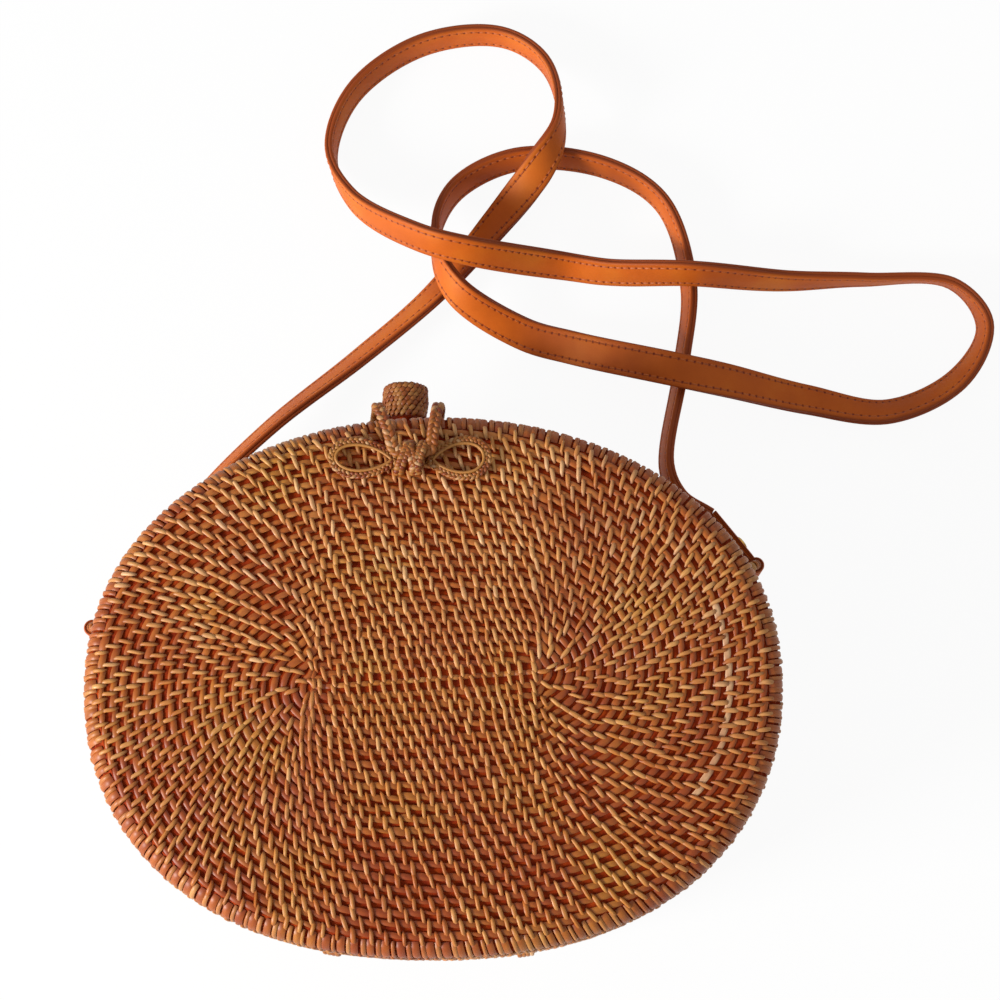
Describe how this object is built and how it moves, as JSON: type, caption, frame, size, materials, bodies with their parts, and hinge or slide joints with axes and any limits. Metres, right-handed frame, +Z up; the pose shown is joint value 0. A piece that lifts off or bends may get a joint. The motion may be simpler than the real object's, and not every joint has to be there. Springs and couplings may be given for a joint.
{
  "type": "oval rattan bag",
  "caption": "Oval woven rattan shoulder bag with a hinged front half, a braided loop-and-knob closure, cotton lining and a long leather strap.",
  "frame": {"origin": "middle of the underside, on the surface that the bag lies on", "axes": "+X along the bag's length to the viewer's right, +Y from the hinge to the closure, +Z up from the back half to the front panel"},
  "size_m": [0.3203, 0.3428, 0.0845],
  "materials": {
    "rattan": "smoked and lacquered woven cane",
    "rattan_braid": "braided and bound cane",
    "cotton_lining": "plain cotton",
    "strap_leather": "waxed tan leather with cut edges",
    "rivet_brass": "polished"
  },
  "bodies": {
    "back_half": {"back_shell": "rattan", "back_rim_coil": "rattan", "back_lining": "cotton_lining", "hinge_lashing_left": "rattan_braid", "hinge_lashing_right": "rattan_braid", "closure_knob": "rattan_braid", "knob_stem": "rattan_braid", "strap_eye_left": "rattan_braid", "strap_eye_right": "rattan_braid", "strap_end_left": "strap_leather", "strap_end_right": "strap_leather", "strap_rivet_left": "rivet_brass", "strap_rivet_right": "rivet_brass", "shoulder_strap": "strap_leather"},
    "front_half": {"front_shell": "rattan", "front_rim_coil": "rattan", "front_lining": "cotton_lining", "bow_knot": "rattan_braid", "bow_loop_left": "rattan_braid", "bow_loop_right": "rattan_braid", "bow_cord_left": "rattan_braid", "bow_cord_right": "rattan_braid"},
    "closure_loop": {"closure_loop": "rattan_braid"}
  },
  "joints": [
    {"name": "front_half_hinge", "type": "hinge", "parent": "back_half", "child": "front_half", "pos_m": [-0.0024, -0.0856, 0.0375], "axis": [1, 0, 0], "range_deg": [0, 95]},
    {"name": "closure_loop_swing", "type": "hinge", "parent": "front_half", "child": "closure_loop", "pos_m": [-0.0064, 0.072, 0.081], "axis": [1, 0, 0], "range_deg": [0, 130]}
  ]
}
